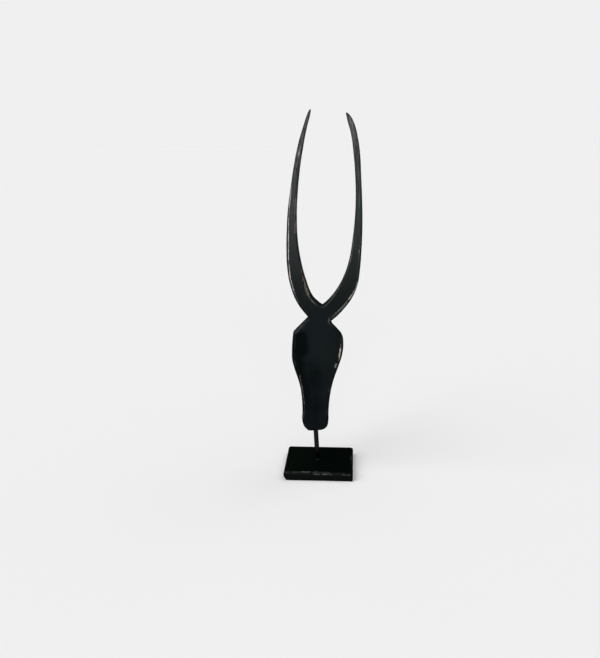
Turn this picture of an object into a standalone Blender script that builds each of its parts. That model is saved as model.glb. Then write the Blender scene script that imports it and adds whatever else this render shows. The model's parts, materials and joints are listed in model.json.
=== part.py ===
"""A stylised antelope head with a pair of long horns, sawn from one board, on a rod and a square foot.

World axes: X to the viewer's right, Y away from the viewer, Z up. The origin is the middle of the
foot's underside. All sizes are in metres; the outline's points are in millimetres, as drawn on the board.
"""

import math

import bmesh
import bpy
from mathutils import Matrix, Vector

MM = 0.001

# Driving dimensions
FOOT_SIDE = 0.116
FOOT_THICKNESS = 0.015
FOOT_CHAMFER = 0.0035

ROD_RADIUS = 0.0040
ROD_ENTRY = Vector((-0.0034, 0.0, FOOT_THICKNESS))
ROD_EXIT = Vector((-0.0064, 0.0, 0.0700))
ROD_DEPTH_IN_FOOT = 0.010
ROD_DEPTH_IN_BOARD = 0.026
HOLE_CLEARANCE = 0.0003
HOLE_EXTRA_DEPTH = 0.0005
# How far a hole's cutter stands out past the mouth of its hole
CUTTER_REACH = 0.012

BOARD_THICKNESS = 0.020
BOARD_CHAMFER = 0.0028
TIP_THICKNESS = 0.007
TAPER_STARTS_AT = 0.330
TAPER_ENDS_AT = 0.600
CHAMFER_FADES_FROM = 0.520
TIP_CHAMFER_SHARE = 0.08
TAPER_CUTS = 12

# Segments of a curved stretch between two drawn points
CURVE_STEPS = 5
ROD_SIDES = 24

# The board's outline in millimetres, as (x, z), going clockwise as the viewer sees it.
# A stretch is smooth through its points. The single points and the points of the tips are corners.
NECK_LEFT = (-18.3, 268.0)
LEFT_HORN_OUTER = (
    (-35.8, 291.2), (-47.0, 319.0), (-52.3, 348.0), (-53.6, 378.0), (-53.0, 410.0),
    (-50.6, 447.0), (-46.3, 478.0), (-41.3, 511.0), (-33.6, 548.0), (-25.4, 575.0), (-18.9, 593.0),
)
LEFT_TIP = ((-15.9, 598.9), (-13.5, 600.0))
LEFT_HORN_INNER = (
    (-14.5, 593.0), (-20.0, 572.0), (-27.2, 535.0), (-32.5, 498.0), (-35.8, 460.0), (-36.8, 430.0),
    (-35.6, 395.0), (-30.9, 362.0), (-22.6, 330.2), (-11.5, 302.7), (-2.6, 293.4),
)
NOTCH = (4.7, 287.9)
RIGHT_HORN_INNER = (
    (15.1, 297.5), (26.4, 311.6), (40.2, 337.5), (48.5, 364.7), (53.3, 396.0), (56.5, 429.0),
    (57.6, 462.0), (56.6, 495.0), (53.8, 530.0), (48.8, 564.0), (43.8, 581.0),
)
RIGHT_TIP = ((40.8, 593.3), (42.2, 594.8))
RIGHT_HORN_OUTER = (
    (47.3, 590.4), (54.0, 578.8), (59.3, 561.0), (63.7, 534.0), (66.1, 497.0), (68.4, 452.0),
    (69.0, 412.0), (68.0, 379.0), (65.8, 347.0), (62.6, 325.0), (54.4, 303.0), (40.6, 283.1), (28.2, 269.7),
)
NECK_RIGHT = (18.6, 261.7)
SKULL_RIGHT = (
    (20.4, 257.4), (28.9, 247.8), (37.3, 236.8), (39.8, 221.0), (37.9, 204.0), (31.8, 184.0), (24.7, 163.1),
    (19.5, 141.3), (16.6, 119.7), (15.3, 99.0), (15.1, 84.0), (13.6, 78.2),
)
SKULL_FOOT = ((9.8, 73.8), (4.0, 71.0), (-3.0, 70.2), (-11.5, 69.4))
CHIN_LEFT = (-18.8, 69.4)
SKULL_LEFT = (
    (-25.5, 76.3), (-28.0, 82.0), (-29.4, 91.0), (-28.8, 104.0), (-29.3, 122.0), (-31.8, 145.0),
    (-37.0, 164.5), (-42.0, 180.0), (-45.6, 195.0), (-46.0, 209.0), (-45.0, 228.0),
)
BROW_LEFT = (-43.6, 242.0)


def clear_scene():
    """Removes every object that the file opened with."""
    for obj in list(bpy.data.objects):
        bpy.data.objects.remove(obj)


def new_collection(name):
    """A collection linked to the scene."""
    collection = bpy.data.collections.new(name)
    bpy.context.scene.collection.children.link(collection)
    return collection


def new_material(name, colour, roughness, metallic=0.0):
    """A Principled BSDF material of one colour."""
    material = bpy.data.materials.new(name)
    material.use_nodes = True
    shader = material.node_tree.nodes["Principled BSDF"]
    shader.inputs["Base Color"].default_value = (*colour, 1.0)
    shader.inputs["Roughness"].default_value = roughness
    shader.inputs["Metallic"].default_value = metallic
    return material


def add_object(name, mesh, collection, material=None):
    """An object for a mesh, in a collection, with its material."""
    obj = bpy.data.objects.new(name, mesh)
    collection.objects.link(obj)
    if material:
        mesh.materials.clear()
        mesh.materials.append(material)
    return obj


def outline_points():
    """The outline's points in order, each with the kind of its handles."""
    stretches = (
        (NECK_LEFT,), LEFT_HORN_OUTER, LEFT_TIP[:1], LEFT_TIP[1:], LEFT_HORN_INNER, (NOTCH,),
        RIGHT_HORN_INNER, RIGHT_TIP[:1], RIGHT_TIP[1:], RIGHT_HORN_OUTER, (NECK_RIGHT,),
        SKULL_RIGHT + SKULL_FOOT, (CHIN_LEFT,), SKULL_LEFT, (BROW_LEFT,),
    )
    points = []
    for stretch in stretches:
        kind = "VECTOR" if len(stretch) == 1 else "AUTO"
        points += [(x * MM, z * MM, kind) for x, z in stretch]
    return points


def flat_board_mesh():
    """The board with square edges and an even thickness, standing up, as a welded mesh."""
    curve = bpy.data.curves.new("board_outline", "CURVE")
    curve.dimensions = "2D"
    curve.fill_mode = "BOTH"
    curve.extrude = BOARD_THICKNESS / 2
    curve.resolution_u = CURVE_STEPS
    spline = curve.splines.new("BEZIER")
    points = outline_points()
    spline.bezier_points.add(len(points) - 1)
    for knot, (x, z, kind) in zip(spline.bezier_points, points):
        knot.co = (x, z, 0.0)
        knot.handle_left_type = knot.handle_right_type = kind
    spline.use_cyclic_u = True

    guide = bpy.data.objects.new("board_outline", curve)
    bpy.context.scene.collection.objects.link(guide)
    graph = bpy.context.evaluated_depsgraph_get()
    mesh = bpy.data.meshes.new_from_object(guide.evaluated_get(graph))
    bpy.data.objects.remove(guide)
    mesh.transform(Matrix.Rotation(math.pi / 2, 4, "X"))
    return mesh


def share_along(value, start, end):
    """How far a value is from start to end, from 0 to 1, with a soft start and end."""
    t = min(max((value - start) / (end - start), 0.0), 1.0)
    return t * t * (3 - 2 * t)


def join_flat_faces(shape):
    """Turns the filled outline's triangles into one face on each side of the board."""
    inner = [e for e in shape.edges if len(e.link_faces) == 2 and e.calc_face_angle(1.0) < math.radians(1)]
    flat = [e for e in inner if all(abs(face.normal.y) > 0.99 for face in e.link_faces)]
    bmesh.ops.dissolve_edges(shape, edges=flat, use_verts=False)


def thin_towards_tips(shape):
    """Cuts the horns across at even heights, then thins them from the taper's start to the tips."""
    step = (TAPER_ENDS_AT - TAPER_STARTS_AT) / TAPER_CUTS
    for cut in range(TAPER_CUTS):
        everything = shape.verts[:] + shape.edges[:] + shape.faces[:]
        level = Vector((0.0, 0.0, TAPER_STARTS_AT + cut * step))
        bmesh.ops.bisect_plane(shape, geom=everything, dist=1e-6, plane_co=level, plane_no=(0, 0, 1))
    for vert in shape.verts:
        share = share_along(vert.co.z, TAPER_STARTS_AT, TAPER_ENDS_AT)
        vert.co.y *= 1 + share * (TIP_THICKNESS / BOARD_THICKNESS - 1)


def weigh_rim(shape):
    """Gives each edge of the two faces' rims its share of the chamfer, which fades towards the tips."""
    weights = shape.edges.layers.float.new("bevel_weight_edge")
    for edge in shape.edges:
        if edge.calc_face_angle(0.0) < math.radians(60):
            continue
        if abs(edge.verts[0].co.y + edge.verts[1].co.y) < 1e-4:
            continue
        height = (edge.verts[0].co.z + edge.verts[1].co.z) / 2
        fade = share_along(height, CHAMFER_FADES_FROM, TAPER_ENDS_AT)
        edge[weights] = 1 + fade * (TIP_CHAMFER_SHARE - 1)


def cylinder_between(name, start, end, radius, collection):
    """A round bar from start to end, whose object stands at start and is turned to lie along the line."""
    along = end - start
    shape = bmesh.new()
    bmesh.ops.create_cone(
        shape, cap_ends=True, segments=ROD_SIDES, radius1=radius, radius2=radius, depth=along.length
    )
    bmesh.ops.translate(shape, verts=shape.verts, vec=(0.0, 0.0, along.length / 2))
    mesh = bpy.data.meshes.new(name)
    shape.to_mesh(mesh)
    shape.free()
    mesh.shade_smooth()
    mesh.set_sharp_from_angle(angle=math.radians(40))
    bar = add_object(name, mesh, collection)
    bar.location = start
    bar.rotation_euler = along.to_track_quat("Z", "Y").to_euler()
    return bar


def cut_with(target, cutter):
    """Takes the cutter's shape out of the target, and keeps the cutter out of the render."""
    cutter.hide_render = True
    cutter.display_type = "WIRE"
    cut = target.modifiers.new("hole", "BOOLEAN")
    cut.operation = "DIFFERENCE"
    cut.solver = "EXACT"
    cut.object = cutter


def chamfered_board_mesh():
    """The board at an even thickness with both rims chamfered, as one welded mesh."""
    mesh = flat_board_mesh()
    shape = bmesh.new()
    shape.from_mesh(mesh)
    bmesh.ops.remove_doubles(shape, verts=shape.verts, dist=1e-6)
    bmesh.ops.recalc_face_normals(shape, faces=shape.faces)
    join_flat_faces(shape)
    weigh_rim(shape)
    shape.to_mesh(mesh)
    shape.free()

    blank = add_object("board_blank", mesh, bpy.context.scene.collection)
    chamfer = blank.modifiers.new("chamfer", "BEVEL")
    chamfer.width = BOARD_CHAMFER
    chamfer.segments = 1
    chamfer.limit_method = "WEIGHT"
    chamfer.use_clamp_overlap = False
    graph = bpy.context.evaluated_depsgraph_get()
    chamfered = bpy.data.meshes.new_from_object(blank.evaluated_get(graph))
    bpy.data.objects.remove(blank)
    return chamfered


def build_board(collection, material):
    """The head and both horns, one sawn board with chamfered edges, thinner at the tips."""
    mesh = chamfered_board_mesh()
    shape = bmesh.new()
    shape.from_mesh(mesh)
    thin_towards_tips(shape)
    shape.to_mesh(mesh)
    shape.free()
    mesh.name = "horned_head"
    return add_object("horned_head", mesh, collection, material)


def build_foot(collection, material):
    """The square foot, with a chamfer round its top."""
    bpy.ops.mesh.primitive_cube_add(size=1.0, location=(0.0, 0.0, FOOT_THICKNESS / 2))
    foot = bpy.context.object
    foot.name = foot.data.name = "foot"
    foot.data.transform(Matrix.Diagonal((FOOT_SIDE, FOOT_SIDE, FOOT_THICKNESS, 1.0)))
    for other in foot.users_collection:
        other.objects.unlink(foot)
    collection.objects.link(foot)
    foot.data.materials.append(material)

    shape = bmesh.new()
    shape.from_mesh(foot.data)
    weights = shape.edges.layers.float.new("bevel_weight_edge")
    for edge in shape.edges:
        at_top = all(vert.co.z > 0 for vert in edge.verts)
        edge[weights] = 1.0 if at_top else 0.0
    shape.to_mesh(foot.data)
    shape.free()
    chamfer = foot.modifiers.new("chamfer", "BEVEL")
    chamfer.width = FOOT_CHAMFER
    chamfer.segments = 1
    chamfer.limit_method = "WEIGHT"
    return foot


def build_rod(collection, material):
    """The metal rod, which reaches into the foot and into the lower end of the board."""
    lean = (ROD_EXIT - ROD_ENTRY).normalized()
    bottom = ROD_ENTRY - lean * ROD_DEPTH_IN_FOOT
    top = ROD_EXIT + lean * ROD_DEPTH_IN_BOARD
    rod = cylinder_between("rod", bottom, top, ROD_RADIUS, collection)
    rod.data.materials.append(material)
    return rod


def build_hole_cutters(collection):
    """The two drilled holes that the rod's ends stand in, a little wider and deeper than the rod."""
    lean = (ROD_EXIT - ROD_ENTRY).normalized()
    radius = ROD_RADIUS + HOLE_CLEARANCE
    foot_end = ROD_ENTRY - lean * (ROD_DEPTH_IN_FOOT + HOLE_EXTRA_DEPTH)
    board_end = ROD_EXIT + lean * (ROD_DEPTH_IN_BOARD + HOLE_EXTRA_DEPTH)
    above_foot = ROD_ENTRY + lean * CUTTER_REACH
    below_board = ROD_EXIT - lean * CUTTER_REACH
    foot_hole = cylinder_between("foot_hole", foot_end, above_foot, radius, collection)
    board_hole = cylinder_between("board_hole", below_board, board_end, radius, collection)
    return foot_hole, board_hole


def main():
    clear_scene()
    ornament = new_collection("pair_of_horns")
    cutters = new_collection("cutters")

    board_paint = new_material("black_board_paint", (0.011, 0.014, 0.016), 0.5)
    foot_paint = new_material("black_foot_paint", (0.005, 0.006, 0.006), 0.42)
    rod_paint = new_material("black_rod_paint", (0.012, 0.012, 0.012), 0.38, metallic=0.3)

    board = build_board(ornament, board_paint)
    foot = build_foot(ornament, foot_paint)
    build_rod(ornament, rod_paint)
    foot_hole, board_hole = build_hole_cutters(cutters)
    cut_with(foot, foot_hole)
    cut_with(board, board_hole)


main()
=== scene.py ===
"""A tall black horned head ornament, sawn from one board and rubbed at its edges, in a plain pale studio.

World axes: X to the viewer's right, Y away from the viewer, Z up. The origin is the middle of the foot's
underside. Sizes are in metres, and places drawn on the board are (x, z) in millimetres.
"""

import json
import logging
import math
from dataclasses import dataclass, field
from enum import Enum

import bmesh
import bpy
import numpy as np
from mathutils import Matrix, Vector, noise

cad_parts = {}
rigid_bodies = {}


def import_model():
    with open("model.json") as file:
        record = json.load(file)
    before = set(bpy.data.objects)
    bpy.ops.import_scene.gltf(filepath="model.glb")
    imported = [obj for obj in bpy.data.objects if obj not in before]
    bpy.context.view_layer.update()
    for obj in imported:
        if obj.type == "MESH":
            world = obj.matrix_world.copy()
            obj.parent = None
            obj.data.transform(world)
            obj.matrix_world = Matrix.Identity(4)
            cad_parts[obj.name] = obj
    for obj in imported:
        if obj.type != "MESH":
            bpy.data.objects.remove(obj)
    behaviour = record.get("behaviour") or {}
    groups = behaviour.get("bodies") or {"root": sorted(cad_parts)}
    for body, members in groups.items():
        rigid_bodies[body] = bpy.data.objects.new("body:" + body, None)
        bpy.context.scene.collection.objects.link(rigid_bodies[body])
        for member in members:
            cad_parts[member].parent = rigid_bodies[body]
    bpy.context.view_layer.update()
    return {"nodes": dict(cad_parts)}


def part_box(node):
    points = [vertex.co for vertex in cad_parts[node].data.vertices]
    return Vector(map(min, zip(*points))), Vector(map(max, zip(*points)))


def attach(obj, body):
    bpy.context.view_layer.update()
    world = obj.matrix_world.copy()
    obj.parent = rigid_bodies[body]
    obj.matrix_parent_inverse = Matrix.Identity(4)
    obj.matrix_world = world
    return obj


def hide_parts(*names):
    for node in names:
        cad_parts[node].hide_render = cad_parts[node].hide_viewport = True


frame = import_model()

MM = 0.001
BODY = "root"
log = logging.getLogger("ornament")

Colour = tuple[float, float, float]
Stretch = tuple[float, float, float]
Place = tuple[float, float]
Piece = bpy.types.Object
Array = np.ndarray

EVEN: Stretch = (1.0, 1.0, 1.0)
JOIN_WITHIN = 0.01 * MM
SMOOTH_UNDER_DEGREES = 32


class Rub(Enum):
    """How far the paint is rubbed away, as the name of the mesh attribute that says where."""

    THIN = "rub_thin"
    DUSTY = "rub_dusty"
    TAN = "rub_tan"
    BARE = "rub_bare"


THIN, DUSTY, TAN, BARE = Rub


class Trait(Enum):
    """The other mesh attributes that a finish reads, from 0 to 1 at each point."""

    ARRIS = "arris"
    RIM = "rim"
    INSET = "inset"
    LOOSE = "loose"
    # Painted shade: where the paint is darkened for the dark reflection on the skull's left and on the
    # lower skull.
    SHADE = "shade"


class Signal:
    """An output socket of a shader node, which arithmetic turns into Math nodes."""

    def __init__(self, recipe: "Recipe", socket: bpy.types.NodeSocket) -> None:
        """Keeps the socket and the recipe that new nodes go in."""
        self.recipe = recipe
        self.socket = socket

    def maths(self, operation: str, first: "Signal | float", second: "Signal | float") -> "Signal":
        """The result of one Math node with two values."""
        return self.recipe.node("ShaderNodeMath", {"operation": operation}, {0: first, 1: second})

    def __add__(self, other: "Signal | float") -> "Signal":
        """This plus other."""
        return self.maths("ADD", self, other)

    def __sub__(self, other: "Signal | float") -> "Signal":
        """This less other."""
        return self.maths("SUBTRACT", self, other)

    def __rsub__(self, other: float) -> "Signal":
        """Other less this."""
        return self.maths("SUBTRACT", other, self)

    def __mul__(self, other: "Signal | float") -> "Signal":
        """This times other."""
        return self.maths("MULTIPLY", self, other)

    def most(self, other: "Signal | float") -> "Signal":
        """The larger of this and other."""
        return self.maths("MAXIMUM", self, other)


class Recipe:
    """The nodes of one material, or of the studio's sky."""

    def __init__(self, owner: bpy.types.ID, shader: str = "Principled BSDF") -> None:
        """Gives a new material or world its nodes.

        Args:
            owner: The material or world.
            shader: The name of the shader that it starts with.
        """
        owner.use_nodes = True
        self.owner = owner
        self.tree = owner.node_tree
        self.shader = self.tree.nodes[shader]

    def node(self, kind: str, settings: dict, values: dict, output: int | str = 0) -> Signal:
        """Adds a node of any kind.

        Args:
            kind: The node's type.
            settings: Its own settings, set first.
            values: Numbers, colours or signals for its inputs, by name or place.
            output: Which of its outputs is wanted.

        Returns:
            That output as a signal.
        """
        made = self.tree.nodes.new(kind)
        for name, value in settings.items():
            setattr(made, name, value)
        for name, value in values.items():
            self.feed(made.inputs[name], value)
        return Signal(self, made.outputs[output])

    def feed(self, socket: bpy.types.NodeSocket, value: "Signal | float | tuple") -> None:
        """Links a signal to an input, or sets the input to a value.

        Args:
            socket: The input.
            value: What goes in. A colour of three numbers gets its alpha.
        """
        if isinstance(value, Signal):
            self.tree.links.new(value.socket, socket)
        elif socket.type == "RGBA" and len(value) == 3:
            socket.default_value = (*value, 1.0)
        else:
            socket.default_value = value

    def place(self, stretch: Stretch = EVEN) -> Signal:
        """Where a point is on the piece, in metres, with each axis stretched."""
        spot = self.node("ShaderNodeTexCoord", {}, {}, "Object")
        return self.node("ShaderNodeMapping", {}, {"Vector": spot, "Scale": stretch})

    def along(self, axis: str) -> Signal:
        """Where a point is along one axis, X, Y or Z, in metres."""
        return self.node("ShaderNodeSeparateXYZ", {}, {0: self.place()}, axis)

    def trait(self, kind: Rub | Trait) -> Signal:
        """The value of one of the piece's mesh attributes."""
        return self.node("ShaderNodeAttribute", {"attribute_name": kind.value}, {}, "Fac")

    def clouds(self, scale: float, stretch: Stretch = EVEN, detail: int = 4, rough: float = 0.55) -> Signal:
        """Soft noise around 0.5: scale is its lumps in a metre, detail and rough its finer layers."""
        values = {"Vector": self.place(stretch), "Scale": scale, "Detail": detail, "Roughness": rough}
        return self.node("ShaderNodeTexNoise", {}, values, "Fac")

    def step(self, value: Signal, low: float, high: float, start: float = 0.0, end: float = 1.0) -> Signal:
        """A soft step from start to end, as value goes from low to high."""
        values = {"Value": value, "From Min": low, "From Max": high, "To Min": start, "To Max": end}
        return self.node("ShaderNodeMapRange", {"interpolation_type": "SMOOTHSTEP"}, values)

    def blend(self, mask: Signal, below: "Signal | Colour", above: "Signal | Colour") -> Signal:
        """The colour above over the colour below, as far as mask shows it."""
        values = {0: mask, 6: below, 7: above}
        return self.node("ShaderNodeMix", {"data_type": "RGBA"}, values, 2)

    def relief(self, height: Signal, depth: float) -> None:
        """Makes the surface rise by depth, in metres, where height is 1."""
        bump = self.node("ShaderNodeBump", {}, {"Height": height, "Distance": depth, "Strength": 1.0})
        self.feed(self.shader.inputs["Normal"], bump)

    def finish(self, **values: "Signal | float | Colour") -> bpy.types.ID:
        """Sets the shader's own sockets.

        Args:
            values: Each socket's value, by its name with _ for a space.

        Returns:
            The finished material or world.
        """
        for name, value in values.items():
            self.feed(self.shader.inputs[name.replace("_", " ")], value)
        return self.owner


@dataclass(frozen=True)
class RubTones:
    """The colours of rubbed paint: thin paint, dusty undercoat, stained wood and bare wood."""

    along_grain: Stretch = (1.0, 1.0, 0.045)
    thin: Colour = (0.036, 0.037, 0.036)
    dusty: Colour = (0.15, 0.152, 0.148)
    soot: Colour = (0.016, 0.015, 0.013)
    olive: Colour = (0.105, 0.094, 0.066)
    pink: Colour = (0.1, 0.083, 0.073)
    tan: Colour = (0.25, 0.226, 0.182)
    cream: Colour = (0.42, 0.405, 0.35)
    silver: Colour = (0.5, 0.51, 0.52)
    grain: Colour = (0.19, 0.17, 0.13)

    def edges(self, recipe: Recipe, loose: Signal) -> dict[Rub, Signal]:
        """A mask with ragged edges for each depth of wear.

        Args:
            recipe: The material's recipe.
            loose: How much wear lies where none is drawn.

        Returns:
            The masks.
        """
        torn = tuple(max(0.4, share) for share in self.along_grain)
        ragged = recipe.clouds(560.0, torn, rough=0.62) - 0.5
        fibres = recipe.clouds(1000.0, self.along_grain, detail=2) - 0.5
        tear = ragged * 0.8 + fibres * 0.45
        masks = {}
        for kind, share in ((THIN, 1.1), (DUSTY, 0.86), (TAN, 0.84), (BARE, 0.62)):
            ends = (0.36, 0.66) if kind is THIN else (0.43, 0.6)
            masks[kind] = recipe.step(recipe.trait(kind).most(loose * share) + tear, *ends)
        return masks

    def over(self, recipe: Recipe, paint: Signal, masks: dict[Rub, Signal]) -> Signal:
        """The paint with its rubs over it.

        Args:
            recipe: The material's recipe.
            paint: The paint's colour.
            masks: Where each depth of wear shows.

        Returns:
            The whole colour.
        """
        fibres = recipe.clouds(1100.0, self.along_grain, detail=3, rough=0.6)
        patches = recipe.clouds(60.0, detail=2)
        pinker = recipe.step(recipe.along("Z"), 0.35, 0.41) * 0.25
        stain = recipe.blend(recipe.step(patches + pinker, 0.44, 0.58), self.olive, self.pink)
        stain = recipe.blend(recipe.step(fibres, 0.5, 0.4), stain, self.soot)
        stain = recipe.blend(recipe.step(fibres, 0.56, 0.66), stain, self.tan)
        leftward = recipe.step(recipe.along("X"), -0.03, -0.01, 1.0, 0.0)
        pale = recipe.blend(leftward, self.cream, self.silver)
        wood = recipe.blend(recipe.step(fibres, 0.52, 0.42), pale, self.grain)
        colour = recipe.blend(masks[THIN], paint, self.thin)
        colour = recipe.blend(masks[DUSTY], colour, self.dusty)
        colour = recipe.blend(masks[TAN], colour, stain)
        return recipe.blend(masks[BARE], colour, wood)


@dataclass(frozen=True)
class RubbedBoardPaint:
    """Black paint on a board, with painted shade on the skull, greyed towards the horns' tips, part paint
    and part painted sheen, and rubbed to the wood at its edges.
    """

    # Colours of the painted shade, towards which the painted shade mask darkens the skull.
    deep: Colour = (0.0012, 0.003, 0.003)
    deep_blue: Colour = (0.0023, 0.0038, 0.0054)
    blue: Colour = (0.0066, 0.0098, 0.0116)
    green: Colour = (0.0062, 0.009, 0.009)
    # Paint that is partly painted sheen: the horns lighten towards the tips as satin paint catching light
    # would.
    grey_paint_and_sheen: Colour = (0.055, 0.058, 0.062)
    grey_green_paint_and_sheen: Colour = (0.043, 0.05, 0.048)
    streak: Colour = (0.158, 0.159, 0.157)
    greying_and_painted_sheen: Place = (0.258, 0.548)
    gloss: float = 0.04
    tones: RubTones = RubTones()

    def paint_colour(self, recipe: Recipe) -> Signal:
        """The paint before it is rubbed: mottled black below with painted shade, greyed and streaked above,
        partly as painted sheen.

        Args:
            recipe: The material's recipe.

        Returns:
            The paint's colour.
        """
        height = recipe.along("Z")
        inset = recipe.trait(Trait.INSET)
        drift = recipe.clouds(26.0, detail=2) - 0.5
        rightward = recipe.step(recipe.along("X") + drift * 0.05, 0.004, 0.026)
        mottle = recipe.step(recipe.clouds(20.0, detail=2), 0.3, 0.7, 0.0, 0.3)
        uneven = recipe.clouds(44.0, (1.0, 1.0, 0.7), detail=3) - 0.5
        # Painted shade: darkens the skull's left, standing in for a dark reflection, and the lower skull.
        painted_shade_mask = recipe.step(recipe.trait(Trait.SHADE) + mottle * 0.6 + uneven * 0.8, 0.05, 1.05)
        neutral = rightward.most(recipe.step(height, 0.266, 0.292)).most(1 - inset)
        deep = recipe.blend(recipe.step(height, 0.178, 0.15), self.deep, self.deep_blue)
        mottled = recipe.blend(painted_shade_mask, recipe.blend(neutral, self.blue, self.green), deep)
        # Towards the tips, paint greyed partly for real and partly as painted sheen, kept off the edges by
        # the inset.
        share = recipe.step(height + drift * 0.03, *self.greying_and_painted_sheen) * inset
        greener = rightward * recipe.step(height, 0.54, 0.48)
        greyed_and_sheened = recipe.blend(share, mottled, recipe.blend(greener, self.grey_paint_and_sheen, self.grey_green_paint_and_sheen))
        lines = recipe.clouds(480.0, (1.0, 1.0, 0.05), detail=5, rough=0.62)
        streaks = recipe.step(lines, 0.56, 0.65) * recipe.step(height, 0.4, 0.56)
        dark_lines = recipe.step(lines, 0.5, 0.38) * recipe.step(height, 0.33, 0.54) * 0.8
        greyed_and_sheened = recipe.blend(dark_lines, greyed_and_sheened, self.blue)
        return recipe.blend(streaks * inset, greyed_and_sheened, self.streak)

    def build(self) -> bpy.types.Material:
        """Builds the finish.

        Returns:
            The finished material.
        """
        recipe = Recipe(bpy.data.materials.new("board_paint"))
        patchy = recipe.step(recipe.clouds(30.0, (1.0, 1.0, 0.6), detail=2), 0.46, 0.66)
        edges = recipe.trait(Trait.ARRIS).most(recipe.trait(Trait.RIM)) * (patchy * 0.6 + 0.4)
        scuffs = recipe.step(recipe.clouds(55.0, (1.0, 1.0, 0.4), detail=5, rough=0.65), 0.5, 0.66)
        loose = edges.most(scuffs * 0.46) * recipe.trait(Trait.LOOSE)
        masks = self.tones.edges(recipe, loose)
        colour = self.tones.over(recipe, self.paint_colour(recipe), masks)
        worn = masks[BARE].most(masks[TAN])
        fibres = recipe.clouds(800.0, (1.0, 1.0, 0.04), detail=3)
        skin = recipe.clouds(160.0, (1.0, 1.0, 0.3), detail=3)
        recipe.relief(fibres * 0.5 + skin * 0.5 - worn * 0.8, 0.00012)
        roughness = recipe.step(skin, 0.3, 0.7, 0.36, 0.46) + worn * 0.35
        return recipe.finish(Base_Color=colour, Roughness=roughness, Specular_IOR_Level=self.gloss)


@dataclass(frozen=True)
class FootPaint:
    """Deep black paint on the foot, rubbed through along the chamfer, with painted light: lighter towards
    the left as a painted reflection, sides painted lighter than the top, and a painted highlight along the
    front chamfer.
    """

    deep: Colour = (0.0001, 0.0016, 0.0011)
    plain: Colour = (0.0012, 0.003, 0.0019)
    # Painted light: the foot's vertical sides are painted lighter than its top.
    side: Colour = (0.003, 0.0045, 0.0038)
    gloss: float = 0.04
    tones: RubTones = RubTones(
        along_grain=(0.045, 1.0, 1.0),
        # On the foot, the thin colour is also the painted highlight along the front chamfer.
        thin=(0.0205, 0.0228, 0.0212),
        dusty=(0.084, 0.086, 0.081),
        soot=(0.006, 0.006, 0.005),
        olive=(0.021, 0.018, 0.013),
        pink=(0.024, 0.017, 0.014),
        tan=(0.045, 0.036, 0.029),
        cream=(0.25, 0.24, 0.215),
        silver=(0.24, 0.245, 0.24),
    )

    def build(self) -> bpy.types.Material:
        """Builds the finish.

        Returns:
            The finished material.
        """
        recipe = Recipe(bpy.data.materials.new("foot_paint"))
        patchy = recipe.step(recipe.clouds(40.0, detail=2), 0.46, 0.66)
        loose = recipe.trait(Trait.ARRIS) * patchy * recipe.trait(Trait.LOOSE)
        masks = self.tones.edges(recipe, loose)
        # Painted reflection: the foot's paint is lighter towards the left and deeper to the right.
        shade = recipe.step(recipe.along("X") + recipe.clouds(14.0, detail=2) * 0.05, -0.02, 0.04)
        paint = recipe.blend(shade, self.plain, self.deep)
        # Painted light: the sides below the chamfer take the lighter side colour.
        paint = recipe.blend(recipe.step(recipe.along("Z"), 0.014, 0.011), paint, self.side)
        colour = self.tones.over(recipe, paint, masks)
        worn = masks[BARE].most(masks[TAN])
        skin = recipe.clouds(190.0, detail=3)
        recipe.relief(skin - worn * 0.7, 0.0001)
        roughness = recipe.step(skin, 0.3, 0.7, 0.34, 0.44) + worn * 0.35
        return recipe.finish(Base_Color=colour, Roughness=roughness, Specular_IOR_Level=self.gloss)


@dataclass(frozen=True)
class RodPaint:
    """Satin black paint on the metal rod, darkened near the foot as a painted reflection of it, with faint
    marks and a painted highlight on the foot bead's front.
    """

    # Painted reflection: the near-black that the rod takes near the foot, as if mirroring it.
    black: Colour = (0.0008, 0.0012, 0.001)
    dark: Colour = (0.0046, 0.0048, 0.0048)
    plain: Colour = (0.01, 0.0104, 0.0104)
    # Painted highlight on the front of the foot's bead.
    rubbed: Colour = (0.018, 0.019, 0.018)
    gloss: float = 0.05
    coat_roughness: float = 0.38

    def build(self) -> bpy.types.Material:
        """Builds the finish.

        Returns:
            The finished material.
        """
        recipe = Recipe(bpy.data.materials.new("rod_paint"))
        drawn = recipe.clouds(900.0, (1.0, 1.0, 0.05), detail=3)
        skin = recipe.clouds(260.0, detail=3)
        colour = recipe.blend(recipe.step(drawn, 0.35, 0.65), self.dark, self.plain)
        # Painted reflection: the rod darkens towards the foot, and its coat fades there.
        painted_foot_reflection = recipe.step(recipe.along("Z"), 0.042, 0.026)
        colour = recipe.blend(painted_foot_reflection, colour, self.black)
        # Painted highlight: the bead's front, marked as the dusty rub, is painted lighter.
        rubbed = recipe.step(recipe.trait(DUSTY) + skin - 0.5, 0.4, 0.6)
        colour = recipe.blend(rubbed, colour, self.rubbed)
        recipe.relief(skin * 0.6 + drawn * 0.4, 0.00006)
        return recipe.finish(
            Base_Color=colour,
            Roughness=recipe.step(skin, 0.3, 0.7, 0.36, 0.48),
            Specular_IOR_Level=self.gloss,
            Coat_Weight=1 - painted_foot_reflection,
            Coat_Roughness=self.coat_roughness,
        )


@dataclass(frozen=True)
class PaleFloorPaint:
    """The studio floor's matt, pale paint."""

    light: Colour = (0.848, 0.848, 0.848)
    shade: Colour = (0.842, 0.842, 0.842)

    def build(self) -> bpy.types.Material:
        """Builds the finish.

        Returns:
            The finished material.
        """
        recipe = Recipe(bpy.data.materials.new("pale_floor"))
        colour = recipe.blend(recipe.clouds(3.0), self.light, self.shade)
        return recipe.finish(Base_Color=colour, Roughness=1.0, Specular_IOR_Level=0.0)


def pick(piece: Piece) -> None:
    """Selects one object alone and makes it the active one.

    Args:
        piece: The object.
    """
    for other in bpy.context.view_layer.objects:
        other.select_set(False)
    piece.select_set(True)
    bpy.context.view_layer.objects.active = piece


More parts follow.
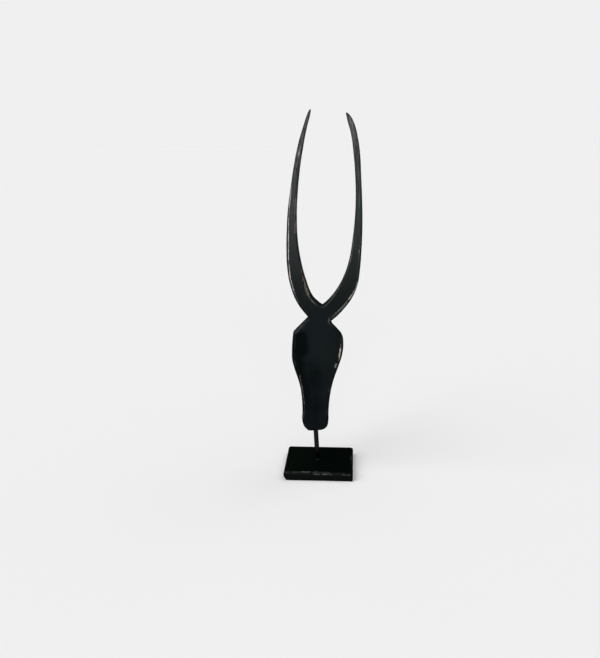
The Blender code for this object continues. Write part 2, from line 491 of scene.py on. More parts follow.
def open_mesh(piece: Piece) -> None:
    """Opens a piece in edit mode with all of it selected.

    Args:
        piece: The piece.
    """
    pick(piece)
    bpy.ops.object.mode_set(mode="EDIT")
    bpy.ops.mesh.select_all(action="SELECT")


def merge_copy(node: str, name: str) -> Piece:
    """Copies a CAD node, with its loose triangles joined.

    Args:
        node: The CAD node's name.
        name: The new piece's name.

    Returns:
        The new piece.
    """
    piece = bpy.data.objects.new(name, frame["nodes"][node].data.copy())
    piece.data.name = name
    bpy.context.scene.collection.objects.link(piece)
    open_mesh(piece)
    bpy.ops.mesh.remove_doubles(threshold=JOIN_WITHIN)
    bpy.ops.object.mode_set(mode="OBJECT")
    return piece


def apply_modifier(piece: Piece, kind: str, **settings: object) -> None:
    """Adds a modifier to a piece and applies it.

    Args:
        piece: The piece.
        kind: The modifier's type.
        settings: Its settings.
    """
    pick(piece)
    modifier = piece.modifiers.new(kind.lower(), kind)
    for name, value in settings.items():
        setattr(modifier, name, value)
    bpy.ops.object.modifier_apply(modifier=modifier.name)


def read_places(piece: Piece) -> Array:
    """The places of a piece's points, one row each.

    Args:
        piece: The piece.

    Returns:
        The places.
    """
    flat = np.empty(len(piece.data.vertices) * 3)
    piece.data.vertices.foreach_get("co", flat)
    return flat.reshape(-1, 3)


def write_places(piece: Piece, places: Array) -> None:
    """Moves a piece's points to new places."""
    piece.data.vertices.foreach_set("co", places.ravel())
    piece.data.update()


def write_trait(piece: Piece, kind: Rub | Trait, values: Array) -> None:
    """Stores one number for each point of a piece, kept between 0 and 1."""
    attribute = piece.data.attributes.new(kind.value, "FLOAT", "POINT")
    attribute.data.foreach_set("value", np.clip(values, 0.0, 1.0).astype(np.float32))


def soft_step(values: Array, low: float, high: float) -> Array:
    """A soft step from 0 to 1 as each value goes from low to high, which may be the smaller one."""
    share = np.clip((values - low) / (high - low), 0.0, 1.0)
    return share * share * (3 - 2 * share)


def ridge(values: Array, middle: float | Array, spread: float) -> Array:
    """A soft peak, 1 where a value is at the middle and near 0 from two spreads away."""
    return np.exp(-(((values - middle) / spread) ** 2))


def lumps(places: Array, size: float, shift: float = 0.0) -> Array:
    """Soft noise from about -1 to 1, with lumps a size apart. Each shift gives another pattern."""
    offset = Vector((shift, 2.3 * shift, -1.7 * shift))
    return np.array([noise.noise(Vector(place) / size + offset) for place in places])


def near_path(places: Array, path: Array) -> Array:
    """How far each place is from a line through several points.

    Args:
        places: The places.
        path: The points.

    Returns:
        One distance for each place.
    """
    nearest = np.full(len(places), np.inf)
    for start, end in zip(path[:-1], path[1:]):
        step = end - start
        share = np.clip((places - start) @ step / (step @ step), 0.0, 1.0)
        nearest = np.minimum(nearest, np.linalg.norm(places - start - share[:, None] * step, axis=1))
    return nearest


def dress(piece: Piece, material: bpy.types.Material, node: str = "") -> None:
    """Gives a finished piece its material and its place in the frame.

    Args:
        piece: The piece.
        material: Its finish.
        node: The CAD node that it stands for, if any.
    """
    piece.data.materials.clear()
    piece.data.materials.append(material)
    pick(piece)
    bpy.ops.object.shade_smooth_by_angle(angle=math.radians(SMOOTH_UNDER_DEGREES))
    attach(piece, BODY)
    if node:
        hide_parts(node)
    log.info("%s: %d faces", piece.name, len(piece.data.polygons))


@dataclass(frozen=True)
class Stroke:
    """A rub on the board's front, along a line of (x, z) places, with half its width, in millimetres."""

    kind: Rub | Trait
    width: float
    amount: float
    path: tuple[Place, ...]

    def cover(self, flat: Array) -> Array:
        """How strongly it lies at (x, z) places: its amount on the line, 0 at twice its half width."""
        apart = near_path(flat, np.array(self.path) * MM) / (self.width * MM)
        return self.amount * np.clip(1 - apart / 2, 0.0, 1.0)


# Each rub's kind, half width, amount and path
STROKES = (
    # Left horn, outer edge
    (DUSTY, 1.1, 0.8, ((-44.8, 482), (-46.7, 461.7), (-48.4, 447.5), (-48.4, 439.5))),
    (BARE, 0.9, 0.72, ((-45.6, 472), (-46.7, 461.7), (-47.8, 453.8), (-48.4, 445))),
    (DUSTY, 0.9, 0.82, ((-48.6, 441), (-49.7, 418.8), (-49.9, 385), (-49.9, 363.9), (-48.4, 344.2))),
    (BARE, 0.8, 0.72, ((-49.3, 431.6), (-49.7, 418.8), (-49.9, 404.4), (-49.9, 385), (-49.9, 364))),
    (BARE, 1, 0.74, ((-49.6, 357), (-48.4, 344.2), (-47.3, 334.3), (-45.3, 326))),
    (BARE, 1, 0.62, ((-45.3, 326), (-43.4, 319.4), (-41.5, 312.8))),
    (DUSTY, 1.2, 0.78, ((-47.5, 334), (-43.4, 319.4), (-40.2, 308.8))),
    (THIN, 1.4, 0.85, ((-41.5, 312.8), (-38.2, 302.8), (-33.5, 293))),
    # Left horn, inner edge
    (DUSTY, 1.1, 0.58, ((-36.9, 470), (-37.6, 458), (-38.3, 447))),
    (TAN, 1.8, 0.96, ((-37.6, 461), (-38.3, 447), (-39, 434), (-39, 418), (-38.6, 408.5))),
    (THIN, 0.8, 0.78, ((-38.6, 408.5), (-37.9, 392), (-36.2, 377), (-33.4, 363), (-29.9, 348.9))),
    (TAN, 1, 0.7, ((-30, 348.9), (-28.4, 341.3), (-26.6, 335.5))),
    (TAN, 1.8, 0.88, ((-26.6, 335.5), (-24.9, 329.5), (-22.2, 320.4))),
    (TAN, 2.2, 0.92, ((-22.2, 320.4), (-20.1, 312.9), (-18.4, 307.3))),
    (BARE, 0.7, 0.52, ((-24.4, 328), (-21.6, 317.5), (-20, 311.5))),
    (DUSTY, 0.9, 0.66, ((-17.5, 304.4), (-14.2, 299.6), (-10.1, 294.6), (-6.6, 291.6))),
    (THIN, 1.2, 0.95, ((-17.5, 304.4), (-10.1, 294.6), (-5.2, 290.6))),
    # Notch and right horn, inner edge
    (THIN, 0.7, 0.66, ((-5.2, 290.6), (-1.1, 287.9), (4.6, 285.2), (9.2, 287.5), (14.1, 292.3))),
    (THIN, 0.9, 0.95,
     ((9.2, 287.5), (14.1, 292.3), (20.6, 300.5), (28.7, 312.3), (36.7, 328.1), (44.1, 344.8))),
    (DUSTY, 0.7, 0.56, ((20.6, 300.5), (28.7, 312.3), (34, 322.5))),
    (THIN, 1.2, 0.9, ((44.6, 346.4), (49.6, 360.3), (53.1, 379), (55.7, 399.9), (57.5, 419))),
    (DUSTY, 0.8, 0.56, ((49.6, 360.3), (53.1, 379), (55.7, 399.9))),
    # Right horn, outer edge
    (DUSTY, 0.9, 0.52, ((67, 440), (67.1, 409.5), (66.5, 391.9))),
    (TAN, 1, 0.74, ((65.4, 388), (64.4, 379.8), (63.6, 364.4), (63.2, 358.3))),
    (BARE, 0.8, 0.62, ((64.8, 384), (64.3, 379), (64.1, 375))),
    (THIN, 1.2, 0.7, ((62.9, 356.3), (61.9, 344.5), (61.8, 329))),
    (DUSTY, 1.1, 0.72, ((61.6, 328.8), (59.7, 320.1), (56.7, 313.5), (53.7, 308.2))),
    (BARE, 0.9, 0.58, ((58.4, 317.1), (55.3, 311), (53.2, 307.4))),
    (BARE, 1.1, 0.82, ((52.8, 306.8), (50.9, 303.9), (48.4, 299.8))),
    (TAN, 1.5, 0.9, ((50.9, 304.5), (44.3, 294), (40.4, 289.2))),
    (DUSTY, 1, 0.74, ((42.4, 291.6), (38, 287), (32.3, 281.4), (27.1, 276.3))),
    (THIN, 2.6, 0.9, ((43.4, 291), (33.4, 280.5), (21.8, 269.6))),
    # Neck, brow and skull
    (THIN, 1.8, 1, ((16.5, 268), (15.9, 263.7), (16.3, 259.6))),
    (DUSTY, 1, 0.52, ((16.3, 267), (15.9, 261.7))),
    (THIN, 1, 0.6, ((18, 256.9), (21, 254.4), (24.3, 251.4))),
    # These two thin-paint strokes on the upper-left shoulder's chamfer are partly painted highlight, where
    # the chamfer catches light.
    (THIN, 1.2, 0.66, ((-19.6, 264), (-27, 256.4))),
    (THIN, 3, 0.62, ((-26, 256.6), (-33.6, 248.6), (-40, 241.4))),
    (DUSTY, 0.8, 0.44, ((-27.6, 257.2), (-36.8, 247.8), (-40.8, 243.2))),
    (THIN, 1, 0.6, ((-40.2, 236.3), (-40.5, 224.7), (-40.6, 213.8))),
    (THIN, 1, 0.66, ((-42, 195.2), (-40.7, 190), (-39, 184.8))),
    (TAN, 1.1, 0.6, ((-32.9, 168.4), (-31.6, 159))),
    (DUSTY, 0.7, 0.66, ((-30.2, 154.3), (-28.5, 144.5), (-27.1, 136.6), (-26.4, 128.5), (-25.6, 121.5))),
    (THIN, 1, 0.8, ((-32, 162.3), (-28.5, 144.5), (-26.7, 128.5))),
    (TAN, 0.8, 0.58, ((-25, 121.7), (-24.6, 114.3), (-25.5, 104))),
    (BARE, 0.8, 0.62, ((-24.9, 121.2), (-24.6, 118))),
    (DUSTY, 0.8, 0.66, ((-25.6, 103.8), (-25.8, 100))),
    (THIN, 0.9, 0.66, ((-25, 121.7), (-25.7, 101.8), (-27.4, 91.7))),
    (THIN, 1, 0.72, ((36.6, 234.5), (36.3, 225.6), (35.1, 217))),
    (DUSTY, 0.8, 0.64, ((36, 224.6), (35.3, 219), (35, 216.5))),
    (TAN, 1.3, 0.86, ((36, 218.6), (35.1, 212), (33.4, 201.5), (32.2, 195.5))),
    (BARE, 1, 1, ((35, 215.5), (34.4, 211.1), (33.7, 206), (33.1, 201.6))),
    (THIN, 1.9, 0.8, ((27.4, 190.6), (26.4, 183.5))),
    (DUSTY, 1.4, 0.78, ((28.9, 189.6), (27.6, 187.2), (26.9, 184.2))),
    (BARE, 0.6, 0.5, ((27.9, 187.8), (27.2, 185.4))),
    (TAN, 1.2, 0.46, ((29.6, 193.4), (27, 191.6))),
    (THIN, 1, 0.7, ((16.3, 146.3), (16, 139.1))),
    (THIN, 0.8, 0.56, ((12.9, 106), (12.6, 98.9))),
    # Tips
    (BARE, 1.1, 0.6, ((-30.8, 539.6), (-31.8, 534.6), (-32.9, 529.2))),
    (DUSTY, 1.3, 0.72, ((-30.2, 543.6), (-31.8, 534.6), (-33.3, 526.2))),
    (DUSTY, 1, 0.6, ((-17, 592.2), (-19.5, 582), (-22.7, 571.5), (-26.6, 556.3), (-30, 543.4))),
    (DUSTY, 1, 0.56, ((-33.3, 527.2), (-38, 505), (-41.5, 488))),
    (DUSTY, 0.9, 0.6, ((48.6, 583), (51.3, 572.6), (54.6, 559), (57.4, 545.2))),
    (DUSTY, 1, 0.38, ((57.4, 545.2), (59.5, 526), (61, 505))),
    (BARE, 0.5, 0.52, ((49.8, 581), (51.8, 573))),
    # Painted shade: darker paint for the dark reflection on the skull's left, and on the lower skull
    (Trait.SHADE, 9, 1.7, ((-32, 231), (-31.5, 213))),
    (Trait.SHADE, 8, 0.9, ((-36, 198), (-30, 175), (-25, 150))),
    (Trait.SHADE, 9, 1.35, ((-27, 158), (-22, 118))),
    (Trait.SHADE, 19, 0.66, ((-12, 166), (-8, 140), (-6, 80))),
)
FRONT_RUBS = tuple(Stroke(*row) for row in STROKES)


def write_rubs(piece: Piece, rubs: "tuple[Stroke | FootRub, ...]", front: Array, *where: Array) -> None:
    """Stores how strongly the drawn rubs of each kind lie on each point.

    Args:
        piece: The piece.
        rubs: The rubs drawn on it.
        front: 1 at the points that the rubs may reach, and 0 at the others.
        where: Where each point is, as the rubs read it.
    """
    for kind in dict.fromkeys(rub.kind for rub in rubs):
        cover = np.zeros(len(front))
        for rub in rubs:
            if rub.kind is kind:
                cover = np.maximum(cover, rub.cover(*where))
        write_trait(piece, kind, cover * front)


class Outline:
    """The board's sawn outline, read from the CAD node on its middle plane, without the rod's hole."""

    def __init__(self, board: Piece, rod_line: Array, hole_radius: float) -> None:
        """Cuts a copy of the board on its middle plane and keeps the loop that the cut leaves.

        Args:
            board: The board, with its points joined.
            rod_line: The rod's two ends, as (x, z).
            hole_radius: How far the hole's wall is from the rod's line.
        """
        shape = bmesh.new()
        shape.from_mesh(board.data)
        everything = shape.verts[:] + shape.edges[:] + shape.faces[:]
        middle = {"plane_co": (0, 0, 0), "plane_no": (0, 1, 0)}
        cut = bmesh.ops.bisect_plane(shape, geom=everything, dist=0.001 * MM, **middle)
        edges = {part for part in cut["geom_cut"] if isinstance(part, bmesh.types.BMEdge)}
        vert = max(edges, key=lambda edge: edge.verts[0].co.z).verts[0]
        loop = []
        while edges:
            loop.append((vert.co.x, vert.co.z))
            edge = next((edge for edge in vert.link_edges if edge in edges), None)
            if edge is None:
                break
            edges.discard(edge)
            vert = edge.other_vert(vert)
        shape.free()
        points = np.array(loop)
        self.points = points[near_path(points, rod_line) > hole_radius + 0.2 * MM]

    def gap(self, flat: Array) -> Array:
        """How far each (x, z) place is from the outline."""
        return near_path(flat, np.vstack((self.points, self.points[:1])))


@dataclass
class HornedBoard:
    """The sawn board of head and horns: its faces, hand-cut chamfers, chips and rubbed places."""

    name: str = "carved_board"
    grid: float = 0.95 * MM
    taper: Place = (0.33, 0.6)
    tip_half: float = 3.5 * MM
    chamfer: float = 3.1 * MM
    chamfer_wander: float = 0.35 * MM
    wander_length: float = 17 * MM
    chamfer_fade: Place = (0.515, 0.59)
    chamfer_loss: float = 0.9
    shoulder: tuple[Place, Place] = ((-19.2, 267.2), (-43.0, 242.8))
    shoulder_reach: Place = (9 * MM, 4 * MM)
    shoulder_extra: float = 2.9 * MM
    shoulder_slope: float = 0.62
    arris_spread: float = 1.3 * MM
    rim_spread: float = 1.2 * MM
    chip_depth: float = 0.55 * MM
    chip_sizes: Place = (5 * MM, 16 * MM)
    chip_fade: Place = (0.48, 0.56)
    wave_height: float = 0.1 * MM
    wave_length: float = 38 * MM
    softened: Place = (8 * MM, 5 * MM)
    softened_fade: Place = (0.565, 0.59)
    drawn_tip: float = 30 * MM
    finish: RubbedBoardPaint = RubbedBoardPaint()

    def half_thickness(self, height: Array) -> Array:
        """Half the board's thickness at each height.

        Args:
            height: The heights.

        Returns:
            One half thickness for each.
        """
        low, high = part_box("horned_head")
        half = (high.y - low.y) / 2
        return half + soft_step(height, *self.taper) * (self.tip_half - half)

    def chamfer_width(self, places: Array) -> tuple[Array, Array]:
        """How wide and how steep the chamfer is near each point.

        Args:
            places: The points.

        Returns:
            The width in metres, and the depth for each metre of width.
        """
        ends = np.array(self.shoulder) * MM
        flat = places[:, (0, 2)]
        at_shoulder = soft_step(near_path(flat, ends), *self.shoulder_reach)
        width = self.chamfer + self.chamfer_wander * lumps(places, self.wander_length)
        width = width + at_shoulder * self.shoulder_extra
        width = width * (1 - self.chamfer_loss * soft_step(places[:, 2], *self.chamfer_fade))
        return width, 1 + at_shoulder * (self.shoulder_slope - 1)

    def carve(self, piece: Piece, outline: Outline) -> None:
        """Cuts the chamfers a little wider than the sawn blank's, unevenly, and chips their arrises.

        Args:
            piece: The board.
            outline: Its outline.
        """
        places = read_places(piece)
        gap = outline.gap(places[:, (0, 2)])
        width, slope = self.chamfer_width(places)
        half = self.half_thickness(places[:, 2])
        side = np.sign(places[:, 1])
        reach = np.abs(places[:, 1])
        limit = half - (width - gap) * slope
        reach = np.where(gap < width, np.minimum(reach, limit), reach)
        small, large = self.chip_sizes
        chips = soft_step(lumps(places, small, 3.1) + 0.5 * lumps(places, large, 7.7), 0.42, 0.9)
        chips = chips * ridge(gap, width, self.arris_spread)
        chips = chips * (1 - soft_step(places[:, 2], *self.chip_fade))
        wave = self.wave_height * lumps(places, self.wave_length, 5.2)
        reach = reach - self.chip_depth * chips - wave * soft_step(gap, 1 * MM, 5 * MM)
        places[:, 1] = side * reach
        write_places(piece, places)

    def draw_tips(self, piece: Piece) -> None:
        """Draws the tips out to the blank's height again, which the even grid cut short.

        Args:
            piece: The board.
        """
        places = read_places(piece)
        top, wanted = places[:, 2].max(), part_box("horned_head")[1].z
        places[:, 2] += (wanted - top) * soft_step(places[:, 2], top - self.drawn_tip, top)
        write_places(piece, places)

    def soften(self, piece: Piece, outline: Outline) -> None:
        """Rounds the arrises as sanding does, but not the thin tips.

        Args:
            piece: The board.
            outline: Its outline.
        """
        places = read_places(piece)
        gap = outline.gap(places[:, (0, 2)])
        weight = soft_step(gap, *self.softened) * (1 - soft_step(places[:, 2], *self.softened_fade))
        group = piece.vertex_groups.new(name="arrises")
        for index in np.nonzero(weight > 0.01)[0]:
            group.add([int(index)], float(weight[index]), "REPLACE")
        apply_modifier(piece, "SMOOTH", factor=0.5, iterations=2, vertex_group="arrises")
        piece.vertex_groups.clear()

    def mark(self, piece: Piece, outline: Outline) -> None:
        """Stores where the arrises, the sawn flank and each rub are.

        Args:
            piece: The board.
            outline: Its outline.
        """
        places = read_places(piece)
        flat = places[:, (0, 2)]
        gap = outline.gap(flat)
        width, slope = self.chamfer_width(places)
        half = self.half_thickness(places[:, 2])
        rim = half - width * slope
        reach = np.abs(places[:, 1])
        off_flank = soft_step(reach - rim, -0.9 * MM, 0.1 * MM)
        near_rim = ridge(reach, rim, self.rim_spread) * soft_step(gap, 2 * MM, 1 * MM)
        inset = 0.25 + 0.75 * soft_step(gap, 0.2 * MM, 2.2 * MM) * off_flank
        write_trait(piece, Trait.ARRIS, ridge(gap, width, self.arris_spread) * (reach > rim))
        write_trait(piece, Trait.RIM, near_rim)
        write_trait(piece, Trait.INSET, inset)
        write_trait(piece, Trait.LOOSE, soft_step(places[:, 1], -5 * MM, -1 * MM))
        front = soft_step(places[:, 1], -0.5 * MM, -1.5 * MM) * off_flank
        write_rubs(piece, FRONT_RUBS, front, flat)

    def build(self, rod_line: Array, hole_radius: float) -> None:
        """Builds and dresses the board.

        Args:
            rod_line: The rod's two ends, as (x, z).
            hole_radius: The radius of the rod's hole.
        """
        piece = merge_copy("horned_head", self.name)
        outline = Outline(piece, rod_line, hole_radius)
        apply_modifier(piece, "REMESH", mode="VOXEL", voxel_size=self.grid)
        self.carve(piece, outline)
        self.soften(piece, outline)
        self.draw_tips(piece)
        self.mark(piece, outline)
        dress(piece, self.finish.build(), "horned_head")


@dataclass(frozen=True)
class FootRub:
    """A rub along the foot's front chamfer, between two places along X and across the chamfer."""

    kind: Rub
    span: Place
    across: Place
    amount: float
    end_fade: float = 3.0
    side_fade: float = 0.2

    def cover(self, along: Array, depth: Array) -> Array:
        """How strongly the rub lies on each point.

        Args:
            along: Where each point is along the edge.
            depth: How far each is down the chamfer, 0 at its top arris and 1 at its lower one.

        Returns:
            From 0 to 1 for each point.
        """
        start, end = self.span
        top, bottom = self.across
        cover = self.amount * soft_step(along / MM, start - self.end_fade, start + self.end_fade)
        cover = cover * soft_step(along / MM, end + self.end_fade, end - self.end_fade)
        cover = cover * soft_step(depth, top - self.side_fade, top)
        return cover * soft_step(depth, bottom + self.side_fade, bottom)


# Each rub's kind, span, place across and amount
FOOT_STROKES = (
    # The thin band along the front chamfer is a painted highlight, strongest at the left, where the chamfer
    # catches light.
    (THIN, (-60, -46), (-0.05, 0.7), 0.52),
    (THIN, (-46, -12), (-0.05, 0.7), 0.58),
    (THIN, (-12, 22), (0, 0.7), 0.6),
    (THIN, (22, 55), (0.2, 0.75), 0.47),
    (DUSTY, (-29, -12), (-0.1, 0.12), 0.64),
    (BARE, (-25, -23), (-0.05, 0.08), 0.46),
    (DUSTY, (-7, 0), (-0.1, 0.12), 0.66),
    (TAN, (-9, 6), (0.2, 0.75), 0.76),
    (DUSTY, (-7.5, 3.5), (0.86, 0.96), 0.86),
    (DUSTY, (6, 17), (0.84, 0.92), 0.68),
    (DUSTY, (17, 26), (0.84, 0.9), 0.62),
    (BARE, (10.5, 14.5), (0.86, 0.92), 0.5),
    (BARE, (18.8, 21.6), (0.86, 0.94), 0.64),
    (DUSTY, (24, 26), (0.05, 0.3), 0.56),
    (DUSTY, (39, 52), (0.84, 0.9), 0.57),
    (DUSTY, (49, 55), (0.84, 1), 0.78),
)
FOOT_RUBS = tuple(FootRub(*row) for row in FOOT_STROKES)


@dataclass
class Foot:
    """The square foot, with a worn chamfer round its top and one knocked corner."""

    name: str = "worn_foot"
    grid: float = 1.1 * MM
    chamfer: float = 3.5 * MM
    chamfer_wander: float = 0.3 * MM
    wander_length: float = 21 * MM
    arris_spread: float = 1.0 * MM
    knock: Place = (5.0 * MM, 7.5 * MM)
    knock_length: float = 26 * MM
    front_reach: Place = (8 * MM, 5 * MM)
    finish: FootPaint = FootPaint()

    def chamfer_place(self, places: Array) -> tuple[Array, Array]:
        """Where each point is against the chamfer.

        Args:
            places: The points.

        Returns:
            How far in from the nearest side, and how far below the top.
        """
        low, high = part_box("foot")
        inward = np.minimum(
            np.minimum(places[:, 0] - low.x, high.x - places[:, 0]),
            np.minimum(places[:, 1] - low.y, high.y - places[:, 1]),
        )
        return inward, high.z - places[:, 2]

    def carve(self, piece: Piece) -> None:
        """Makes the chamfer uneven, dents its arrises and knocks the near left corner off.

        Args:
            piece: The foot.
        """
        places = read_places(piece)
        low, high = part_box("foot")
        centre = np.array(((low.x + high.x) / 2, (low.y + high.y) / 2))
        inward, down = self.chamfer_place(places)
        width = self.chamfer + self.chamfer_wander * (0.6 + lumps(places, self.wander_length, 1.3))
        short = np.maximum(width - inward - down, 0.0) * soft_step(places[:, 2], 4 * MM, 8 * MM)
        away = places[:, :2] - centre
        on_side = np.abs(away) >= np.abs(away).max(axis=1, keepdims=True) - 0.2 * MM
        places[:, :2] -= np.sign(away) * on_side * (short / 2)[:, None]
        places[:, 2] -= short / 2
        side_reach, up_reach = self.knock
        near = soft_step(places[:, 1], low.y + self.knock_length, low.y)
        lack = near - (places[:, 0] - low.x) / side_reach - (places[:, 2] - low.z) / up_reach
        lack = np.maximum(lack, 0.0)
        places[:, 0] += lack * side_reach / 2
        places[:, 2] += lack * up_reach / 2
        write_places(piece, places)

    def mark(self, piece: Piece) -> None:
        """Stores where the arrises and the rubs are.

        Args:
            piece: The foot.
        """
        places = read_places(piece)
        low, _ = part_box("foot")
        inward, down = self.chamfer_place(places)
        upper, lower = (
            ridge(one, self.chamfer, self.arris_spread) * soft_step(other, 1.6 * MM, 0.7 * MM)
            for one, other in ((inward, down), (down, inward))
        )
        write_trait(piece, Trait.ARRIS, np.maximum(upper, lower))
        front = soft_step(places[:, 1] - low.y, *self.front_reach)
        write_trait(piece, Trait.LOOSE, 0.8 * (1 - front))
        depth = (places[:, 1] - low.y - self.chamfer) / -self.chamfer
        depth = np.where(depth < 0.97, depth, down / self.chamfer)
        write_rubs(piece, FOOT_RUBS, front, places[:, 0], depth)

    def build(self) -> None:
        """Builds and dresses the foot."""
        piece = merge_copy("foot", self.name)
        apply_modifier(piece, "REMESH", mode="VOXEL", voxel_size=self.grid)
        self.carve(piece)
        apply_modifier(piece, "SMOOTH", factor=0.5, iterations=1)
        self.mark(piece)
        dress(piece, self.finish.build(), "foot")


@dataclass
class Rod:
    """The painted metal rod, and the bead of paint where it enters the foot and the head."""

    name: str = "painted_rod"
    sides: int = 40
    rings: int = 44
    clearance: float = 0.3 * MM
    end_bevel: float = 0.4 * MM
    swell: float = 0.012
    swell_length: float = 9 * MM
    bead_width: float = 0.7 * MM
    bead_height: float = 0.8 * MM
    bead_sunk: float = 0.5 * MM
    head_mouth: float = 70 * MM
    finish: RodPaint = RodPaint()
    low: Vector = field(init=False)
    high: Vector = field(init=False)
    radius: float = field(init=False)

    def __post_init__(self) -> None:
        """Reads the rod's ends and radius from the CAD node."""
        places = np.array([vert.co for vert in frame["nodes"]["rod"].data.vertices])
        bottom = places[places[:, 2] < places[:, 2].min() + 1 * MM]
        top = places[places[:, 2] > places[:, 2].max() - 1 * MM]
        self.low = Vector((bottom.min(axis=0) + bottom.max(axis=0)) / 2)
        self.high = Vector((top.min(axis=0) + top.max(axis=0)) / 2)
        self.radius = (places[:, 1].max() - places[:, 1].min()) / 2

    def line(self) -> Array:
        """The rod's two ends, as (x, z)."""
        return np.array(((self.low.x, self.low.z), (self.high.x, self.high.z)))

    def hole_radius(self) -> float:
        """The radius of the holes that the rod stands in."""
        return self.radius + self.clearance

    def at_height(self, height: float) -> Vector:
        """The place on the rod's line at a height."""
        return self.low.lerp(self.high, (height - self.low.z) / (self.high.z - self.low.z))

    def build_bar(self, material: bpy.types.Material) -> None:
        """Draws the bar out of a disc, ring by ring, with its ends broken.

        Args:
            material: The rod's finish.
        """
        along = (self.high - self.low).normalized()
        bpy.ops.mesh.primitive_circle_add(
            vertices=self.sides,
            radius=self.radius,
            fill_type="NGON",
            location=self.low,
            rotation=along.to_track_quat("Z", "Y").to_euler(),
        )
        bar = bpy.context.object
        bar.name = bar.data.name = self.name
        bpy.ops.object.transform_apply()
        open_mesh(bar)
        rise = (self.high - self.low) / self.rings
        for _ in range(self.rings):
            bpy.ops.mesh.extrude_region_move(TRANSFORM_OT_translate={"value": rise})
        bpy.ops.mesh.select_all(action="SELECT")
        bpy.ops.mesh.normals_make_consistent()
        bpy.ops.object.mode_set(mode="OBJECT")
        apply_modifier(bar, "BEVEL", width=self.end_bevel, segments=2, limit_method="ANGLE")
        places = read_places(bar)
        line = np.array([self.at_height(height) for height in places[:, 2]])
        swell = 1 + self.swell * lumps(places, self.swell_length, 2.0) - self.swell
        write_places(bar, line + (places - line) * swell[:, None])
        dress(bar, material, "rod")

    def build_bead(self, name: str, height: float, up: int, material: bpy.types.Material) -> None:
        """Turns a bead of paint round the rod, at the mouth of a hole.

        Args:
            name: The bead's name.
            height: The height of the face that the hole is in.
            up: 1 if the bead stands on the face, or -1 if it hangs from it.
            material: The rod's finish.
        """
        centre = self.at_height(height)
        along = (self.high - self.low).normalized()
        turn = along.to_track_quat("Z", "Y").to_matrix()
        inner = self.radius - 0.1 * MM
        profile = (
            (inner, -self.bead_sunk),
            (inner, self.bead_height),
            (inner + 0.5 * self.bead_width, 0.75 * self.bead_height),
            (inner + 0.6 * self.bead_width, 0.25 * self.bead_height),
            (inner + self.bead_width, -0.2 * self.bead_sunk),
            (inner + self.bead_width, -self.bead_sunk),
        )
        mesh = bpy.data.meshes.new(name)
        shape = bmesh.new()
        ring = [shape.verts.new(centre + turn @ Vector((out, 0.0, up * rise))) for out, rise in profile]
        for first, second in zip(ring, ring[1:] + ring[:1]):
            shape.edges.new((first, second))
        shape.to_mesh(mesh)
        shape.free()
        bead = bpy.data.objects.new(name, mesh)
        bpy.context.scene.collection.objects.link(bead)
        open_mesh(bead)
        bpy.ops.mesh.spin(steps=self.sides, angle=math.tau, center=centre, axis=along)
        bpy.ops.mesh.select_all(action="SELECT")
        bpy.ops.mesh.remove_doubles(threshold=JOIN_WITHIN)
        bpy.ops.mesh.normals_make_consistent()
        bpy.ops.object.mode_set(mode="OBJECT")
        # Painted highlight: the foot bead's front is marked to be painted lighter.
        if up > 0:
            toward_front = (centre.y - read_places(bead)[:, 1]) / self.radius
            write_trait(bead, DUSTY, soft_step(toward_front, 0.5, 0.9))
        dress(bead, material)

    def build(self) -> None:
        """Builds the bar and both beads."""
        material = self.finish.build()
        self.build_bar(material)
        self.build_bead("foot_bead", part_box("foot")[1].z, 1, material)
        self.build_bead("head_bead", self.head_mouth, -1, material)


@dataclass(frozen=True)
class Softbox:
    """A large, far softbox: where it stands, how wide it looks and how bright it makes what faces it."""

    name: str
    azimuth: float
    elevation: float
    spread: float
    strength: float

    def build(self) -> None:
        """Adds the light."""
        turn, lift = math.radians(self.azimuth), math.radians(self.elevation)
        toward = Vector((math.sin(turn) * math.cos(lift), -math.cos(turn) * math.cos(lift), math.sin(lift)))
        bpy.ops.object.light_add(type="SUN", rotation=toward.to_track_quat("Z", "Y").to_euler())
        light = bpy.context.object
        light.name = self.name
        light.data.energy = self.strength
        light.data.angle = math.radians(self.spread)
        log.info("%s lit", self.name)


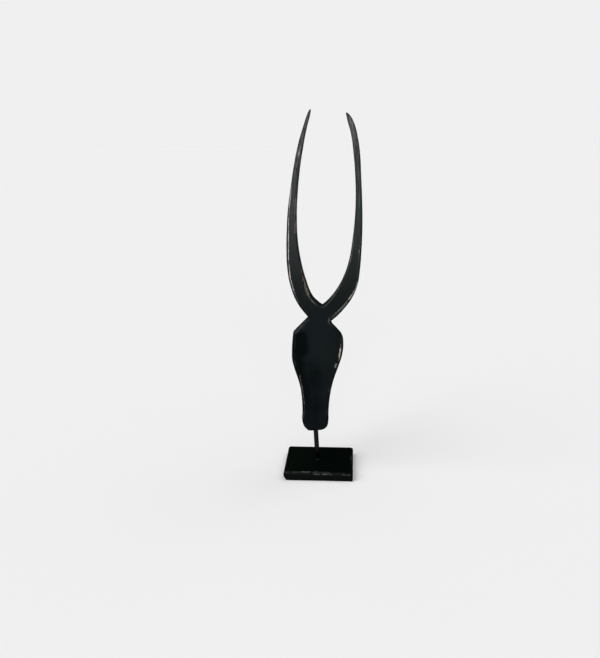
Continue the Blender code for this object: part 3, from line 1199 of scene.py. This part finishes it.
@dataclass
class Studio:
    """The pale floor, the pale background and the soft lights."""

    floor_radius: float = 30.0
    floor_sides: int = 96
    background: float = 0.87
    mirrored: float = 0.03
    dome: float = 0.8
    low_sky: float = 0.15
    sky_brightens: Place = (0.45, 0.95)
    softboxes: tuple[Softbox, ...] = (
        Softbox("left_softbox", -58.0, 40.0, 50.0, 1.7),
        Softbox("front_softbox", 4.0, 12.0, 24.0, 0.8),
        Softbox("right_softbox", 115.0, 55.0, 50.0, 0.6),
    )

    def build_floor(self) -> None:
        """Lays the floor: a wide disc whose middle has a finer ring."""
        bpy.ops.mesh.primitive_circle_add(
            vertices=self.floor_sides, radius=self.floor_radius, fill_type="NGON"
        )
        floor = bpy.context.object
        floor.name = "studio_floor"
        open_mesh(floor)
        bpy.ops.mesh.inset(thickness=self.floor_radius * 0.9)
        bpy.ops.object.mode_set(mode="OBJECT")
        floor.data.materials.append(PaleFloorPaint().build())
        floor.visible_glossy = False

    def build_sky(self) -> None:
        """Lights the scene from above and keeps the background plain and pale."""
        world = bpy.data.worlds.new("studio")
        bpy.context.scene.world = world
        recipe = Recipe(world, "Background")
        direction = recipe.node("ShaderNodeTexCoord", {}, {}, "Generated")
        height = recipe.node("ShaderNodeSeparateXYZ", {}, {0: direction}, "Z")
        light = recipe.step(height, *self.sky_brightens, self.low_sky, self.dome)
        for ray, level in (("Is Glossy Ray", self.mirrored), ("Is Camera Ray", self.background)):
            seen = recipe.node("ShaderNodeLightPath", {}, {}, ray)
            light = recipe.node("ShaderNodeMix", {}, {0: seen, 2: light, 3: level})
        recipe.finish(Color=(1.0, 1.0, 1.0), Strength=light)

    def build(self) -> None:
        """Builds the floor, the sky and the lights."""
        self.build_floor()
        self.build_sky()
        for softbox in self.softboxes:
            softbox.build()


@dataclass(frozen=True)
class PhotoCamera:
    """The camera at the photograph's viewing angle."""

    place: tuple[float, float, float] = (0.0555, -1.292, 0.567)
    turn: float = -3.9
    tilt: float = 13.9
    roll: float = -0.33
    focal_pixels: float = 800.0
    picture_height: float = 658.0
    sensor: float = 36.0

    def build(self) -> None:
        """Adds the camera and makes it the scene's own."""
        level = Matrix(((1, 0, 0), (0, 0, -1), (0, 1, 0)))
        spin, tilt, turn = (
            Matrix.Rotation(math.radians(angle), 3, axis)
            for angle, axis in ((self.roll, "Z"), (self.tilt, "X"), (self.turn, "Z"))
        )
        right, down, forward = (spin @ tilt @ level @ turn).row
        facing = Matrix((right, -down, -forward)).transposed().to_4x4()
        data = bpy.data.cameras.new("photo_camera")
        data.sensor_width = self.sensor
        data.lens = self.sensor * self.focal_pixels / self.picture_height
        camera = bpy.data.objects.new("photo_camera", data)
        camera.matrix_world = Matrix.Translation(self.place) @ facing
        bpy.context.scene.collection.objects.link(camera)
        bpy.context.scene.camera = camera


def main() -> None:
    """Builds the studio, then the ornament's three pieces."""
    logging.basicConfig(level=logging.INFO)
    view = bpy.context.scene.view_settings
    view.view_transform = "Standard"
    view.look = "None"
    PhotoCamera().build()
    Studio().build()
    rod = Rod()
    HornedBoard().build(rod.line(), rod.hole_radius())
    Foot().build()
    rod.build()


if __name__ == "__main__":
    main()
